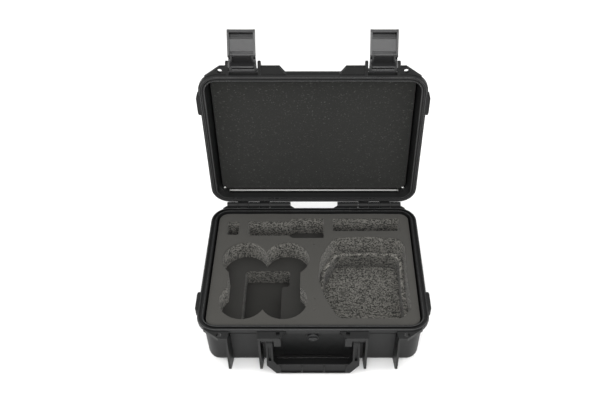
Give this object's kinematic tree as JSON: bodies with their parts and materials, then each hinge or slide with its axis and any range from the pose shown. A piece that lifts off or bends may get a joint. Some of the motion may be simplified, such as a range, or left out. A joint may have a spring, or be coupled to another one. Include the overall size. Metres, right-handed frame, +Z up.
{
  "type": "drone carrying case",
  "caption": "Hard latching carry case with cut foam for a palm-sized ducted drone and goggles, hinged lid, flip-up latches, folding handle and pressure valve.",
  "frame": {"origin": "middle of the base's flat underside", "axes": "+X to the right seen from the front, +Y to the hinge side at the back, +Z up"},
  "size_m": [0.3284, 0.2973, 0.3861],
  "materials": {
    "case_plastic": "satin",
    "latch_plastic": "satin",
    "base_foam": "matte",
    "lid_foam": "matte",
    "seal_rubber": "matte",
    "steel": "satin"
  },
  "bodies": {
    "base": {"base_shell": "case_plastic", "base_foam_top": "base_foam", "base_foam_middle": "base_foam", "base_foam_pad": "base_foam", "valve_body": "latch_plastic", "valve_nut": "latch_plastic", "hinge_pin_left": "steel", "hinge_pin_right": "steel", "handle_pin_left": "steel", "handle_pin_right": "steel"},
    "lid": {"lid_shell": "case_plastic", "lid_seal": "seal_rubber", "lid_foam": "lid_foam", "lid_rod": "steel", "lid_stud_left": "steel", "lid_stud_right": "steel", "latch_pin_left": "steel", "latch_pin_right": "steel"},
    "handle": {"handle": "latch_plastic"},
    "valve_knob": {"valve_knob": "latch_plastic"},
    "link_left": {"latch_link_left": "latch_plastic", "lever_pin_left": "steel"},
    "lever_left": {"latch_lever_left": "latch_plastic"},
    "link_right": {"latch_link_right": "latch_plastic", "lever_pin_right": "steel"},
    "lever_right": {"latch_lever_right": "latch_plastic"}
  },
  "joints": [
    {"name": "lid_hinge", "type": "hinge", "parent": "base", "child": "lid", "pos_m": [0, 0.125, 0.08015], "axis": [1, 0, 0], "range_deg": [0, 90]},
    {"name": "handle_swing", "type": "hinge", "parent": "base", "child": "handle", "pos_m": [0, -0.1245, 0.0645], "axis": [-1, 0, 0], "range_deg": [0, 84]},
    {"name": "valve_turn", "type": "hinge", "parent": "base", "child": "valve_knob", "pos_m": [0, -0.114, 0.0615], "axis": [0, -1, 0], "range_deg": [0, 180]},
    {"name": "link_swing_left", "type": "hinge", "parent": "lid", "child": "link_left", "pos_m": [-0.095, 0.12985, 0.33115], "axis": [1, 0, 0], "range_deg": [0, 84]},
    {"name": "lever_swing_left", "type": "hinge", "parent": "link_left", "child": "lever_left", "pos_m": [-0.095, 0.12718, 0.35651], "axis": [1, 0, 0], "range_deg": [0, 32]},
    {"name": "link_swing_right", "type": "hinge", "parent": "lid", "child": "link_right", "pos_m": [0.095, 0.12985, 0.33115], "axis": [1, 0, 0], "range_deg": [0, 84]},
    {"name": "lever_swing_right", "type": "hinge", "parent": "link_right", "child": "lever_right", "pos_m": [0.095, 0.12718, 0.35651], "axis": [1, 0, 0], "range_deg": [0, 32]}
  ]
}
